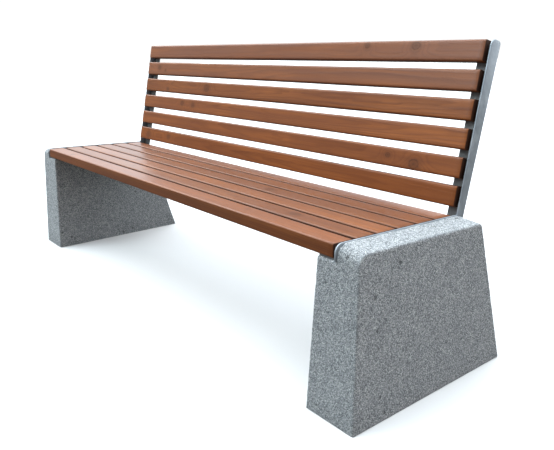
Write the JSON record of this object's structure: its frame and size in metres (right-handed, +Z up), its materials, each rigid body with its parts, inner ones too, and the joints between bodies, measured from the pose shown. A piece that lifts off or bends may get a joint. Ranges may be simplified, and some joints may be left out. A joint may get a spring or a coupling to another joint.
{
  "type": "garden bench",
  "caption": "Long garden bench with a slatted wooden seat and leaning slatted back, held by steel end frames on tapered concrete legs.",
  "frame": {"origin": "on the ground under the middle of the bench, centred along its length and over its depth", "axes": "+X along the bench to the right of someone looking at its front, +Z up, the seat opens towards -Y"},
  "size_m": [2, 0.5987, 0.8536],
  "materials": {
    "stained_wood": "reddish brown glaze on softwood, satin",
    "concrete": "exposed grey granite aggregate, matt and rough",
    "galvanised_steel": "hot dip galvanised, dull blue grey",
    "zinc_fasteners": "zinc plated",
    "socket_steel": "plain turned steel"
  },
  "bodies": {
    "root": {"seat_slat_1": "stained_wood", "back_slat_1": "stained_wood", "seat_slat_2": "stained_wood", "back_slat_2": "stained_wood", "seat_slat_3": "stained_wood", "back_slat_3": "stained_wood", "seat_slat_4": "stained_wood", "back_slat_4": "stained_wood", "seat_slat_5": "stained_wood", "back_slat_5": "stained_wood", "seat_slat_6": "stained_wood", "back_slat_6": "stained_wood", "leg_left": "concrete", "seat_side_plate_left": "galvanised_steel", "back_side_plate_left": "galvanised_steel", "seat_strip_left": "galvanised_steel", "back_strip_left": "galvanised_steel", "frame_screws_left": "zinc_fasteners", "seat_slat_screws_left": "zinc_fasteners", "back_slat_screws_left": "zinc_fasteners", "washers_left": "zinc_fasteners", "sockets_left": "socket_steel", "leg_right": "concrete", "seat_side_plate_right": "galvanised_steel", "back_side_plate_right": "galvanised_steel", "seat_strip_right": "galvanised_steel", "back_strip_right": "galvanised_steel", "frame_screws_right": "zinc_fasteners", "seat_slat_screws_right": "zinc_fasteners", "back_slat_screws_right": "zinc_fasteners", "washers_right": "zinc_fasteners", "sockets_right": "socket_steel"}
  },
  "joints": []
}
